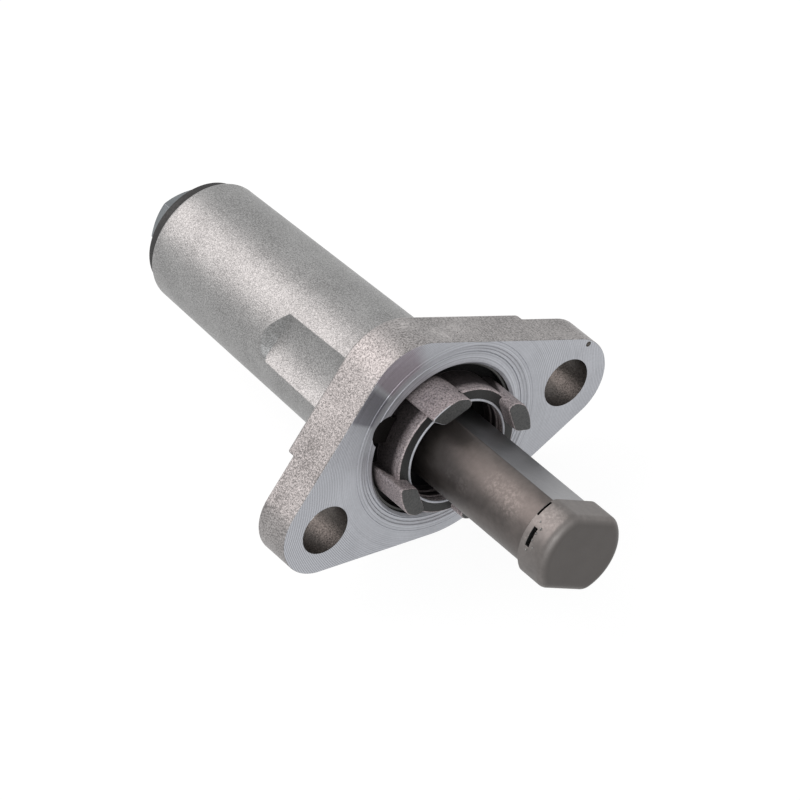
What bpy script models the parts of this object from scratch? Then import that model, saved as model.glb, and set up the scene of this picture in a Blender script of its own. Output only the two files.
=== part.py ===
"""Timing chain tensioner of the screw type, with a two-hole flange and a clawed guide ring.

Every piece is drawn along its own axis: +Z runs out of the bore, along the plunger, and the origin
is where the bore's axis meets the machined mounting face. One empty turns that drawing frame so
that the plunger points along -Y and the flange stands upright, with its long axis along X. The
lengths are metres, and an angle round the axis counts from +X towards the top of the flange.
"""
import math

import bmesh
import bpy
from mathutils import Matrix, Vector

# Fits
SEAT_GAP = 0.00030
SLIDE_CLEARANCE = 0.00027
CAP_SOCKET_CLEARANCE = 0.00020
THREAD_RADIAL_CLEARANCE = 0.00025
THREAD_FLANK_CLEARANCE = 0.00025
CUTTER_EXCESS = 0.0010

# Flange and its bolt holes
BOLT_SPACING = 0.0360
BOLT_DROP = 0.0024
BOLT_HOLE_RADIUS = 0.00325
LOBE_RADIUS = 0.0060
LOBE_THICKNESS = 0.0050
SPOT_FACE_RADIUS = 0.0084
FLANGE_THICKNESS = 0.0064
FLANGE_RIM = 0.00325
FLANGE_EDGE_ROUND = 0.0006
BOSS_OFFSET = -0.00307
BOSS_HEIGHT = 0.0091
BOSS_RADIUS = 0.0074

# Barrel of the housing
BARREL_WALL = 0.0020
BARREL_DRAFT = 0.0009
BARREL_FILLET = 0.0010
BARREL_END_ROUND = 0.0005
REAR_WALL = 0.0057
SCALLOP_ANGLE = 143.0
SCALLOP_WALL = 0.00105
SCALLOP_RADIUS = 0.0079
SCALLOP_LENGTH = 0.0175
SCALLOP_SIDE = 0.0038
SCALLOP_CORNER = 0.0021
SCALLOP_SKEW = 25.0
SCALLOP_LEAN = 40.0

# Machined mouth
MOUTH_RING_WIDTH = 0.00155
MOUTH_RING_DEPTH = 0.00025
PRY_NOTCH_ANGLE = 139.7
PRY_NOTCH_RADIUS = 0.00225
PRY_NOTCH_DEPTH = 0.0022
PRY_NOTCH_INSET = 0.00067

# Plunger and cap
PLUNGER_RADIUS = 0.00513
PLUNGER_FLAT = 0.0043
FLAT_ANGLE = 52.5
PLUNGER_OUT = 0.0216
TRAVEL = 0.0200
NUT_DEPTH = 0.0070
NUT_LENGTH = 0.0080
SPIGOT_RADIUS = 0.0041
SPIGOT_LENGTH = 0.0021
CAP_RADIUS = 0.00595
CAP_FLAT = 0.00485
CAP_FACE_WALL = 0.0012
CAP_SOCKET_DEPTH = 0.0010
CAP_ROUND = 0.0012
CAP_CORNER = 0.0013
CAP_RIM_BEVEL = 0.00015
RIM_SLOT_START = 93.0
RIM_SLOT_END = 114.0
RIM_SLOT_DEPTH = 0.00030
STAKE_SLOT_START = 124.0
STAKE_SLOT_END = 155.0
STAKE_SLOT_REAR = 0.0009
STAKE_SLOT_WIDTH = 0.0006

# Guide ring
RECESS_MARGIN = 0.0014
RECESS_DEPTH = 0.0012
WEB_WALL = 0.0017
WEB_PROUD = 0.0023
CLAW_STEP = 0.00035
CLAW_OVERHANG = 0.0011
CLAW_REACH = 0.0043
CLAW_BEVEL_ANGLE = 9.0
CLAW_BEVEL_DROP = 0.0013
CLAW_STRAIGHT_SIDE = 0.00295
CLAW_SLANT_FOOT = 0.0013
CLAW_SLANT_ANGLE = 17.5
CLAW_EDGE_BEVEL = 0.00035
CLAW_FIRST_ANGLE = 7.5
GUIDE_BASE_THICKNESS = 0.0021
RIM_NOTCH_START = 129.0
RIM_NOTCH_END = 151.0

# Retaining ring
SNAP_RING_SETBACK = 0.0009
SNAP_RING_THICKNESS = 0.0008
SNAP_RING_WIDTH = 0.00085
SNAP_RING_SHOW = 0.00035
SNAP_RING_GAP_START = 128.0
SNAP_RING_GAP_END = 155.0

# Screw, spring, sleeve and seat
SLEEVE_WALL = 0.00055
SCREW_MAJOR_RADIUS = 0.0033
SCREW_MINOR_RADIUS = 0.0024
SCREW_PROUD = 0.0025
THREAD_LEAD = 0.0050
THREAD_STARTS = 2
THREAD_CREST = 0.0006
THREAD_ROOT = 0.0013
COLLAR_THICKNESS = 0.0015
COLLAR_CLEARANCE = 0.0010
JOURNAL_RADIUS = 0.0036
TAIL_RADIUS = 0.0022
KEY_SLOT_WIDTH = 0.0012
KEY_SLOT_DEPTH = 0.0025
SPRING_WIRE_RADIUS = 0.0006
SPRING_TURNS = 7
SPRING_PITCH = 0.0015
THRUST_SEAT_THICKNESS = 0.0013
KEY_HOLE_RADIUS = 0.0012

# Seal bolt and washer at the rear
SEAL_THREAD_RADIUS = 0.0031
SEAL_SHANK_LENGTH = 0.0040
SEAL_WASHER_RADIUS = 0.0075
SEAL_WASHER_THICKNESS = 0.0010
HEX_ACROSS_FLATS = 0.0080
HEX_HEIGHT = 0.0040
HEX_CORNER_ANGLE = 55.0
HEX_CHAMFER = 0.0005

# Facets, and how near points weld or count as level
ROUND_STEPS = 64
OUTLINE_STEPS = 108
SMALL_STEPS = 32
THREAD_STEPS = 24
SPRING_STEPS = 14
FILLET_STEPS = 4
WELD = 0.000001
LEVEL = 0.00001
SHARP_EDGE = math.radians(57.0)

# Radii that follow from the sizes above, from the plunger outwards
GUIDE_HOLE_RADIUS = PLUNGER_RADIUS + SLIDE_CLEARANCE
WEB_INNER_RADIUS = GUIDE_HOLE_RADIUS + RECESS_MARGIN
WEB_RADIUS = WEB_INNER_RADIUS + WEB_WALL
CLAW_INNER_FLAT = WEB_INNER_RADIUS + CLAW_STEP
CLAW_OUTER_RADIUS = WEB_RADIUS + CLAW_OVERHANG
SNAP_RING_INNER = CLAW_OUTER_RADIUS + SEAT_GAP
SNAP_RING_OUTER = SNAP_RING_INNER + SNAP_RING_WIDTH
COUNTERBORE_RADIUS = SNAP_RING_INNER + SNAP_RING_SHOW
GUIDE_BASE_RADIUS = COUNTERBORE_RADIUS - SEAT_GAP
HUB_RADIUS = COUNTERBORE_RADIUS + FLANGE_RIM
SLEEVE_INNER = PLUNGER_RADIUS + SEAT_GAP
SLEEVE_OUTER = SLEEVE_INNER + SLEEVE_WALL
BORE_RADIUS = SLEEVE_OUTER + SEAT_GAP
BARREL_REAR_RADIUS = BORE_RADIUS + BARREL_WALL
BARREL_FRONT_RADIUS = BARREL_REAR_RADIUS + BARREL_DRAFT
NUT_MINOR_RADIUS = SCREW_MINOR_RADIUS + THREAD_RADIAL_CLEARANCE
NUT_MAJOR_RADIUS = SCREW_MAJOR_RADIUS + THREAD_RADIAL_CLEARANCE
CAP_BORE_RADIUS = SPIGOT_RADIUS + SEAT_GAP

# Places along the axis that follow, from the mouth to the rear
SNAP_RING_FRONT = -SNAP_RING_SETBACK
SNAP_RING_REAR = SNAP_RING_FRONT - SNAP_RING_THICKNESS
GUIDE_BASE_FRONT = SNAP_RING_REAR - SEAT_GAP
GUIDE_BASE_REAR = GUIDE_BASE_FRONT - GUIDE_BASE_THICKNESS
COUNTERBORE_FLOOR = GUIDE_BASE_REAR - SEAT_GAP
COLLAR_FRONT = -(NUT_DEPTH + TRAVEL + COLLAR_CLEARANCE)
COLLAR_REAR = COLLAR_FRONT - COLLAR_THICKNESS
SPRING_FRONT = COLLAR_REAR - SEAT_GAP
SPRING_LENGTH = SPRING_TURNS * SPRING_PITCH + 2 * SPRING_WIRE_RADIUS
SPRING_REAR = SPRING_FRONT - SPRING_LENGTH
SEAT_FRONT = SPRING_REAR - SEAT_GAP
SEAT_REAR = SEAT_FRONT - THRUST_SEAT_THICKNESS
BORE_FLOOR = SEAT_REAR - SEAT_GAP
BARREL_REAR = BORE_FLOOR - REAR_WALL
WASHER_REAR = BARREL_REAR - SEAT_GAP - SEAL_WASHER_THICKNESS
HEX_FRONT = WASHER_REAR - SEAT_GAP
SCALLOP_FRONT = -FLANGE_THICKNESS - BARREL_FILLET / 2
CAP_FRONT = PLUNGER_OUT + CAP_SOCKET_DEPTH + SPIGOT_LENGTH + SEAT_GAP + CAP_FACE_WALL

BOLT_PLACES = ((-BOLT_SPACING / 2, -BOLT_DROP), (BOLT_SPACING / 2, -BOLT_DROP))


def polar(radius, degrees):
    """A point of the drawing plane at this radius and angle."""
    angle = math.radians(degrees)
    return (radius * math.cos(angle), radius * math.sin(angle))


def arc(centre, radius, start, end, steps):
    """Points along an arc, both ends included, with its angles in degrees."""
    points = []
    for step in range(steps + 1):
        x, y = polar(radius, start + (end - start) * step / steps)
        points.append((centre[0] + x, centre[1] + y))
    return points


def hull_outline(circles):
    """Outline stretched round circles, from the circle that reaches furthest each way."""
    points = []
    for step in range(OUTLINE_STEPS):
        along = Vector(polar(1.0, 360.0 * step / OUTLINE_STEPS))
        centre, radius = max(circles, key=lambda circle: along.dot(Vector(circle[0])) + circle[1])
        points.append(tuple(Vector(centre) + radius * along))
    return points


def collection(name):
    """A new collection in the scene."""
    group = bpy.data.collections.new(name)
    bpy.context.scene.collection.children.link(group)
    return group


def material(name, colour, roughness, metallic=1.0):
    """A plain Principled material."""
    surface = bpy.data.materials.new(name)
    surface.use_nodes = True
    shader = surface.node_tree.nodes["Principled BSDF"]
    shader.inputs["Base Color"].default_value = (*colour, 1.0)
    shader.inputs["Roughness"].default_value = roughness
    shader.inputs["Metallic"].default_value = metallic
    surface.diffuse_color = (*colour, 1.0)
    return surface


def place(name, mesh, group, parent):
    """A new object of this mesh, in the drawing frame of its parent."""
    item = bpy.data.objects.new(name, mesh)
    group.objects.link(item)
    item.parent = parent
    return item


def as_cutter(item):
    """Marks a shape that only cuts or joins another."""
    item.hide_render = True
    item.display_type = "WIRE"
    return item


def combine(item, tool, operation="DIFFERENCE"):
    """Cuts the tool out of the item, or joins or intersects it."""
    change = item.modifiers.new(tool.name, "BOOLEAN")
    change.operation = operation
    change.solver = "EXACT"
    change.object = tool
    return item


def turned(name, profile, group, parent, steps=ROUND_STEPS, closed=True):
    """A turned piece: its profile of (radius, height) runs down its outer side."""
    mesh = bpy.data.meshes.new(name)
    rows = [(radius, 0.0, height) for radius, height in profile]
    edges = [(index, index + 1) for index in range(len(rows) - 1)]
    if closed:
        edges.append((len(rows) - 1, 0))
    mesh.from_pydata(rows, edges, [])
    item = place(name, mesh, group, parent)
    screw = item.modifiers.new("Turn", "SCREW")
    screw.steps = steps
    screw.render_steps = steps
    screw.use_merge_vertices = True
    screw.merge_threshold = WELD
    screw.use_smooth_shade = False
    return item


def rod(name, radius, top, bottom, group, parent, steps=ROUND_STEPS, at=(0.0, 0.0)):
    """A round bar between two heights."""
    mesh = bpy.data.meshes.new(name)
    shape = bmesh.new()
    middle = Matrix.Translation((at[0], at[1], (top + bottom) / 2))
    bmesh.ops.create_cone(shape, cap_ends=True, segments=steps, radius1=radius, radius2=radius,
                          depth=top - bottom, matrix=middle)
    shape.to_mesh(mesh)
    shape.free()
    return place(name, mesh, group, parent)


def plate(name, outline, top, bottom, group, parent):
    """A flat outline with a thickness, as a mesh whose caps are welded."""
    curve = bpy.data.curves.new(name + "_outline", "CURVE")
    curve.dimensions = "2D"
    curve.fill_mode = "BOTH"
    curve.extrude = (top - bottom) / 2
    spline = curve.splines.new("POLY")
    spline.points.add(len(outline) - 1)
    for point, (x, y) in zip(spline.points, outline):
        point.co = (x, y, 0.0, 1.0)
    spline.use_cyclic_u = True
    guide = bpy.data.objects.new(name + "_outline", curve)
    bpy.context.scene.collection.objects.link(guide)
    mesh = bpy.data.meshes.new_from_object(guide.evaluated_get(bpy.context.evaluated_depsgraph_get()))
    bpy.data.objects.remove(guide)
    shape = bmesh.new()
    shape.from_mesh(mesh)
    bmesh.ops.remove_doubles(shape, verts=shape.verts, dist=WELD)
    bmesh.ops.translate(shape, verts=shape.verts, vec=(0.0, 0.0, (top + bottom) / 2))
    bmesh.ops.recalc_face_normals(shape, faces=shape.faces)
    shape.to_mesh(mesh)
    shape.free()
    return place(name, mesh, group, parent)


def bevel_rim(item, height, width):
    """Rounds the sharp edges of an item that lie at one height."""
    shape = bmesh.new()
    shape.from_mesh(item.data)
    rim = [edge for edge in shape.edges if all(abs(v.co.z - height) < LEVEL for v in edge.verts)]
    outer = [edge for edge in rim
             if len(edge.link_faces) == 2 and edge.calc_face_angle(0.0) > SHARP_EDGE]
    bmesh.ops.bevel(shape, geom=outer, offset=width, segments=2, affect="EDGES", profile=0.5,
                    clamp_overlap=True)
    shape.to_mesh(item.data)
    shape.free()


def sector(name, inner, outer, start, end, top, bottom, group, parent):
    """A piece of a ring between two angles."""
    steps = max(3, round(SMALL_STEPS * (end - start) / 180.0))
    outline = arc((0.0, 0.0), outer, start, end, steps)
    outline += arc((0.0, 0.0), inner, end, start, steps)
    return plate(name, outline, top, bottom, group, parent)


def flatted_outline(radius, flat, corner=0.0):
    """A circle with two parallel flats, its four corners sharp or rounded."""
    inner = radius - corner
    half = math.degrees(math.acos((flat - corner) / inner))
    outline = []
    for side in (FLAT_ANGLE, FLAT_ANGLE + 180.0):
        if corner:
            outline += arc(polar(inner, side - half), corner, side - half, side, FILLET_STEPS)
            outline += arc(polar(inner, side + half), corner, side, side + half, FILLET_STEPS)
        round_side = arc((0.0, 0.0), radius, side + half, side + 180.0 - half, SMALL_STEPS // 2)
        outline += round_side[1:-1] if corner else round_side
    return outline


def flatted_rod(name, radius, flat, top, bottom, group, parent, corner=0.0):
    """A bar with two parallel flats, as the plunger's section has."""
    return plate(name, flatted_outline(radius, flat, corner), top, bottom, group, parent)


def thread_ridge(name, inner, outer, root, crest, top, bottom, turn, group, parent):
    """One start of a right-hand thread: a trapezium that is turned and lifted by its lead."""
    base = THREAD_LEAD * (math.floor(bottom / THREAD_LEAD) - 1)
    turns = math.ceil((top - base) / THREAD_LEAD) + 1
    corners = ((inner, -root / 2), (outer, -crest / 2), (outer, crest / 2), (inner, root / 2))
    mesh = bpy.data.meshes.new(name)
    shape = bmesh.new()
    section = [shape.verts.new((radius, 0.0, base + height)) for radius, height in corners]
    face = shape.faces.new(section)
    steps = turns * THREAD_STEPS
    bmesh.ops.spin(shape, geom=section + list(face.edges) + [face], cent=(0.0, 0.0, 0.0),
                   axis=(0.0, 0.0, 1.0), dvec=(0.0, 0.0, THREAD_LEAD / THREAD_STEPS),
                   angle=math.tau * turns, steps=steps, use_duplicate=False)
    bmesh.ops.rotate(shape, verts=shape.verts, cent=(0.0, 0.0, 0.0),
                     matrix=Matrix.Rotation(math.radians(turn), 3, "Z"))
    bmesh.ops.recalc_face_normals(shape, faces=shape.faces)
    shape.to_mesh(mesh)
    shape.free()
    return as_cutter(place(name, mesh, group, parent))


def make_housing(parts, cutters, frame, finish):
    """The casting: flange and barrel in one, cut by its bores, holes and scallop."""
    lobes = [((x, y), LOBE_RADIUS) for x, y in BOLT_PLACES]
    boss = ((BOSS_OFFSET, BOSS_HEIGHT), BOSS_RADIUS)
    hub = ((0.0, 0.0), HUB_RADIUS)
    outline = hull_outline([*lobes, hub, boss])
    housing = plate("housing", outline, 0.0, -FLANGE_THICKNESS, parts, frame)
    bevel_rim(housing, -FLANGE_THICKNESS, FLANGE_EDGE_ROUND)
    housing.data.materials.append(finish)

    for index, place_xy in enumerate(BOLT_PLACES):
        combine(housing, as_cutter(rod(f"spot_face_{index + 1}", SPOT_FACE_RADIUS, -LOBE_THICKNESS,
                                       -FLANGE_THICKNESS - CUTTER_EXCESS, cutters, frame,
                                       SMALL_STEPS, place_xy)))

    fillet_centre = (BARREL_FRONT_RADIUS + BARREL_FILLET, -FLANGE_THICKNESS - BARREL_FILLET)
    end_centre = (BARREL_REAR_RADIUS - BARREL_END_ROUND, BARREL_REAR + BARREL_END_ROUND)
    profile = [(0.0, -FLANGE_THICKNESS / 2), (fillet_centre[0], -FLANGE_THICKNESS / 2)]
    profile += arc(fillet_centre, BARREL_FILLET, 90.0, 180.0, FILLET_STEPS)
    profile += arc(end_centre, BARREL_END_ROUND, 0.0, -90.0, FILLET_STEPS)
    profile.append((0.0, BARREL_REAR))
    barrel = as_cutter(turned("barrel", profile, cutters, frame, closed=False))
    combine(housing, barrel, "UNION")

    combine(housing, make_scallop(cutters, frame))

    bore_profile = [(0.0, CUTTER_EXCESS), (COUNTERBORE_RADIUS, CUTTER_EXCESS),
                    (COUNTERBORE_RADIUS, COUNTERBORE_FLOOR), (BORE_RADIUS, COUNTERBORE_FLOOR),
                    (BORE_RADIUS, BORE_FLOOR), (SEAL_THREAD_RADIUS, BORE_FLOOR),
                    (SEAL_THREAD_RADIUS, BARREL_REAR - CUTTER_EXCESS),
                    (0.0, BARREL_REAR - CUTTER_EXCESS)]
    combine(housing, as_cutter(turned("stepped_bore", bore_profile, cutters, frame, closed=False)))

    ring_outer = COUNTERBORE_RADIUS + MOUTH_RING_WIDTH
    mouth_profile = [(COUNTERBORE_RADIUS - CUTTER_EXCESS, CUTTER_EXCESS),
                     (ring_outer + CUTTER_EXCESS, CUTTER_EXCESS),
                     (ring_outer, 0.0), (ring_outer - MOUTH_RING_DEPTH, -MOUTH_RING_DEPTH),
                     (COUNTERBORE_RADIUS - CUTTER_EXCESS, -MOUTH_RING_DEPTH)]
    combine(housing, as_cutter(turned("mouth_ring", mouth_profile, cutters, frame)))

    groove_profile = [(COUNTERBORE_RADIUS - CUTTER_EXCESS, SNAP_RING_FRONT + SEAT_GAP),
                      (SNAP_RING_OUTER + SEAT_GAP, SNAP_RING_FRONT + SEAT_GAP),
                      (SNAP_RING_OUTER + SEAT_GAP, SNAP_RING_REAR - SEAT_GAP),
                      (COUNTERBORE_RADIUS - CUTTER_EXCESS, SNAP_RING_REAR - SEAT_GAP)]
    combine(housing, as_cutter(turned("ring_groove", groove_profile, cutters, frame)))

    notch_at = polar(COUNTERBORE_RADIUS - PRY_NOTCH_INSET, PRY_NOTCH_ANGLE)
    combine(housing, as_cutter(rod("pry_notch", PRY_NOTCH_RADIUS, CUTTER_EXCESS, -PRY_NOTCH_DEPTH,
                                   cutters, frame, SMALL_STEPS, notch_at)))

    for index, place_xy in enumerate(BOLT_PLACES):
        combine(housing, as_cutter(rod(f"bolt_hole_{index + 1}", BOLT_HOLE_RADIUS, CUTTER_EXCESS,
                                       -FLANGE_THICKNESS - CUTTER_EXCESS, cutters, frame,
                                       SMALL_STEPS, place_xy)))
    return housing


def make_scallop(cutters, frame):
    """The hollow along the barrel: a round cutter that a gauge with a leaning, skewed end trims."""
    floor = BORE_RADIUS + SCALLOP_WALL
    centre = polar(floor + SCALLOP_RADIUS, SCALLOP_ANGLE)
    rear = SCALLOP_FRONT - SCALLOP_LENGTH - SCALLOP_RADIUS
    cutter = rod("scallop", SCALLOP_RADIUS, SCALLOP_FRONT, rear, cutters, frame, ROUND_STEPS, centre)
    half = SCALLOP_RADIUS + CUTTER_EXCESS
    rise = half * math.tan(math.radians(SCALLOP_SKEW))
    corner_at = (SCALLOP_CORNER - SCALLOP_SIDE, SCALLOP_CORNER - SCALLOP_LENGTH)
    outline = [(half, half), (half, rise - SCALLOP_LENGTH), (0.0, -SCALLOP_LENGTH)]
    outline += arc(corner_at, SCALLOP_CORNER, -90.0, -180.0, FILLET_STEPS)
    outline += [(-half, corner_at[1]), (-half, half)]
    gauge = plate("scallop_outline", outline, half * 2, -half * 2, cutters, frame)
    turn = Matrix.Rotation(math.radians(SCALLOP_ANGLE - 90.0), 4, "Z")
    tip = Matrix.Rotation(math.radians(90.0), 4, "X")
    lean = Matrix.Shear("XY", 4, (0.0, math.tan(math.radians(SCALLOP_LEAN))))
    reach = Matrix.Translation((0.0, floor, SCALLOP_FRONT))
    gauge.data.transform(turn @ reach @ tip @ lean)
    as_cutter(gauge)
    return as_cutter(combine(cutter, gauge, "INTERSECT"))


def claw_outline(centre, mirrored):
    """A claw's section: an arc, a bevelled corner, a straight side, a flat inside and a slanted side."""
    sign = -1.0 if mirrored else 1.0
    points = arc((0.0, 0.0), CLAW_OUTER_RADIUS, -CLAW_SLANT_ANGLE, CLAW_BEVEL_ANGLE, FILLET_STEPS)
    points += [(CLAW_OUTER_RADIUS - CLAW_BEVEL_DROP, CLAW_STRAIGHT_SIDE),
               (CLAW_INNER_FLAT, CLAW_STRAIGHT_SIDE), (CLAW_INNER_FLAT, -CLAW_SLANT_FOOT)]
    turn = Matrix.Rotation(math.radians(centre), 2)
    return [tuple(turn @ Vector((x, sign * y))) for x, y in points]


def make_guide_ring(parts, cutters, frame, finish):
    """The sintered bearing: base, web and four claws, with a flatted hole in a round recess."""
    profile = [(0.0, -RECESS_DEPTH), (WEB_INNER_RADIUS, -RECESS_DEPTH), (WEB_INNER_RADIUS, WEB_PROUD),
               (WEB_RADIUS, WEB_PROUD), (WEB_RADIUS, GUIDE_BASE_FRONT),
               (GUIDE_BASE_RADIUS, GUIDE_BASE_FRONT), (GUIDE_BASE_RADIUS, GUIDE_BASE_REAR),
               (0.0, GUIDE_BASE_REAR)]
    ring = turned("guide_ring", profile, parts, frame, closed=False)
    ring.data.materials.append(finish)
    for index in range(4):
        centre = CLAW_FIRST_ANGLE + 90.0 * index
        mirrored = index % 2 == 1
        claw = plate(f"claw_{index + 1}", claw_outline(centre, mirrored), CLAW_REACH,
                     (GUIDE_BASE_FRONT + GUIDE_BASE_REAR) / 2, cutters, frame)
        bevel_rim(claw, CLAW_REACH, CLAW_EDGE_BEVEL)
        combine(ring, as_cutter(claw), "UNION")
    combine(ring, as_cutter(sector("rim_notch", WEB_RADIUS, GUIDE_BASE_RADIUS + CUTTER_EXCESS,
                                   RIM_NOTCH_START, RIM_NOTCH_END, GUIDE_BASE_FRONT + CUTTER_EXCESS,
                                   GUIDE_BASE_REAR - CUTTER_EXCESS, cutters, frame)))
    hole = flatted_rod("guide_hole", GUIDE_HOLE_RADIUS, PLUNGER_FLAT + SLIDE_CLEARANCE,
                       CUTTER_EXCESS - RECESS_DEPTH, GUIDE_BASE_REAR - CUTTER_EXCESS, cutters, frame)
    return combine(ring, as_cutter(hole))


def make_retaining_ring(parts, frame, finish):
    """The snap ring, an open ring of flat wire."""
    ring = sector("retaining_ring", SNAP_RING_INNER, SNAP_RING_OUTER, SNAP_RING_GAP_END,
                  SNAP_RING_GAP_START + 360.0, SNAP_RING_FRONT, SNAP_RING_REAR, parts, frame)
    ring.data.materials.append(finish)
    return ring


def make_plunger(parts, cutters, frame, finish):
    """The flatted tube, with the nut thread at its rear and a spigot for the cap."""
    shoulder = PLUNGER_OUT + CAP_SOCKET_DEPTH - CAP_SOCKET_CLEARANCE
    plunger = flatted_rod("plunger", PLUNGER_RADIUS, PLUNGER_FLAT, shoulder, -NUT_DEPTH, parts, frame)
    plunger.data.materials.append(finish)
    spigot_top = PLUNGER_OUT + CAP_SOCKET_DEPTH + SPIGOT_LENGTH
    combine(plunger, as_cutter(rod("spigot", SPIGOT_RADIUS, spigot_top, shoulder - CUTTER_EXCESS,
                                   cutters, frame, SMALL_STEPS)), "UNION")
    nut_front = -NUT_DEPTH + NUT_LENGTH
    combine(plunger, as_cutter(rod("plunger_bore", NUT_MAJOR_RADIUS, spigot_top + CUTTER_EXCESS,
                                   nut_front, cutters, frame, THREAD_STEPS)))
    combine(plunger, as_cutter(rod("nut_bore", NUT_MINOR_RADIUS, nut_front + CUTTER_EXCESS,
                                   -NUT_DEPTH - CUTTER_EXCESS, cutters, frame, THREAD_STEPS)))
    widen = 2 * THREAD_FLANK_CLEARANCE
    for start in range(THREAD_STARTS):
        groove = thread_ridge(f"nut_groove_{start + 1}", SCREW_MINOR_RADIUS, NUT_MAJOR_RADIUS,
                              THREAD_ROOT + widen, THREAD_CREST + widen, nut_front, -NUT_DEPTH,
                              360.0 * start / THREAD_STARTS, cutters, frame)
        combine(plunger, groove)
    return plunger


def make_cap(parts, cutters, frame, finish):
    """The pressed cap: flatted skirt, bore for the spigot, rounded nose and staking slots."""
    cap = flatted_rod("plunger_cap", CAP_RADIUS, CAP_FLAT, CAP_FRONT, PLUNGER_OUT, parts, frame,
                      CAP_CORNER)
    bevel_rim(cap, CAP_FRONT, CAP_ROUND)
    bevel_rim(cap, PLUNGER_OUT, CAP_RIM_BEVEL)
    cap.data.materials.append(finish)
    socket = flatted_rod("cap_socket", PLUNGER_RADIUS + CAP_SOCKET_CLEARANCE,
                         PLUNGER_FLAT + CAP_SOCKET_CLEARANCE, PLUNGER_OUT + CAP_SOCKET_DEPTH,
                         PLUNGER_OUT - CUTTER_EXCESS, cutters, frame)
    combine(cap, as_cutter(socket))
    combine(cap, as_cutter(rod("cap_bore", CAP_BORE_RADIUS, CAP_FRONT - CAP_FACE_WALL,
                               PLUNGER_OUT, cutters, frame, SMALL_STEPS)))
    reach = CAP_RADIUS + CUTTER_EXCESS
    combine(cap, as_cutter(sector("rim_slot", PLUNGER_RADIUS, reach, RIM_SLOT_START, RIM_SLOT_END,
                                  PLUNGER_OUT + RIM_SLOT_DEPTH, PLUNGER_OUT - CUTTER_EXCESS,
                                  cutters, frame)))
    stake_rear = PLUNGER_OUT + STAKE_SLOT_REAR
    combine(cap, as_cutter(sector("stake_slot", PLUNGER_RADIUS, reach, STAKE_SLOT_START,
                                  STAKE_SLOT_END, stake_rear + STAKE_SLOT_WIDTH, stake_rear,
                                  cutters, frame)))
    return cap


def make_screw(parts, cutters, frame, finish):
    """The spindle: two-start thread, collar, journal for the spring and slotted tail."""
    tail_end = SEAT_FRONT + SEAT_GAP
    thread_rear = COLLAR_FRONT + SEAT_GAP
    profile = [(0.0, SCREW_PROUD), (SCREW_MINOR_RADIUS, SCREW_PROUD),
               (SCREW_MINOR_RADIUS, COLLAR_FRONT), (SLEEVE_OUTER, COLLAR_FRONT),
               (SLEEVE_OUTER, COLLAR_REAR), (JOURNAL_RADIUS, COLLAR_REAR),
               (JOURNAL_RADIUS, SPRING_REAR + SPRING_WIRE_RADIUS),
               (TAIL_RADIUS, SPRING_REAR), (TAIL_RADIUS, tail_end), (0.0, tail_end)]
    screw = turned("screw_shaft", profile, parts, frame, THREAD_STEPS, closed=False)
    screw.data.materials.append(finish)
    span = rod("thread_span", SCREW_MAJOR_RADIUS + CUTTER_EXCESS, SCREW_PROUD - THREAD_CREST,
               thread_rear, cutters, frame, THREAD_STEPS)
    as_cutter(span)
    inner = SCREW_MINOR_RADIUS - THREAD_RADIAL_CLEARANCE
    for start in range(THREAD_STARTS):
        ridge = thread_ridge(f"screw_ridge_{start + 1}", inner, SCREW_MAJOR_RADIUS, THREAD_ROOT,
                             THREAD_CREST, SCREW_PROUD, COLLAR_FRONT,
                             360.0 * start / THREAD_STARTS, cutters, frame)
        combine(ridge, span, "INTERSECT")
        combine(screw, ridge, "UNION")
    reach, half = TAIL_RADIUS + CUTTER_EXCESS, KEY_SLOT_WIDTH / 2
    slot = plate("key_slot", [(-reach, -half), (reach, -half), (reach, half), (-reach, half)],
                 tail_end + KEY_SLOT_DEPTH, tail_end - CUTTER_EXCESS, cutters, frame)
    return combine(screw, as_cutter(slot))


def make_spring(parts, frame, finish):
    """The torsion spring: a coil of round wire with a short leg along the axis at each end."""
    mean = (JOURNAL_RADIUS + SEAT_GAP + BORE_RADIUS) / 2
    count = SPRING_TURNS * SPRING_STEPS
    front = SPRING_FRONT - SPRING_WIRE_RADIUS
    points = []
    for step in range(count + 1):
        x, y = polar(mean, 360.0 * step / SPRING_STEPS)
        points.append((x, y, front - SPRING_PITCH * step / SPRING_STEPS))
    curve = bpy.data.curves.new("torsion_spring", "CURVE")
    curve.dimensions = "3D"
    curve.bevel_depth = SPRING_WIRE_RADIUS
    curve.bevel_resolution = 2
    curve.use_fill_caps = True
    spline = curve.splines.new("POLY")
    spline.points.add(len(points) - 1)
    for point, (x, y, z) in zip(spline.points, points):
        point.co = (x, y, z, 1.0)
    curve.materials.append(finish)
    spring = bpy.data.objects.new("torsion_spring", curve)
    parts.objects.link(spring)
    spring.parent = frame
    return spring


def make_sleeve(parts, frame, finish):
    """The spacer that stands between the guide ring and the screw's collar."""
    top = GUIDE_BASE_REAR - SEAT_GAP
    bottom = COLLAR_FRONT + SEAT_GAP
    profile = [(SLEEVE_OUTER, top), (SLEEVE_OUTER, bottom), (SLEEVE_INNER, bottom),
               (SLEEVE_INNER, top)]
    sleeve = turned("spacer_sleeve", profile, parts, frame, SMALL_STEPS)
    sleeve.data.materials.append(finish)
    return sleeve


def make_thrust_seat(parts, frame, finish):
    """The hardened disc that the screw's tail runs against, with a hole for the key."""
    outer = BORE_RADIUS - SEAT_GAP
    profile = [(outer, SEAT_FRONT), (outer, SEAT_REAR), (KEY_HOLE_RADIUS, SEAT_REAR),
               (KEY_HOLE_RADIUS, SEAT_FRONT)]
    seat = turned("thrust_seat", profile, parts, frame, SMALL_STEPS)
    seat.data.materials.append(finish)
    return seat


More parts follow.
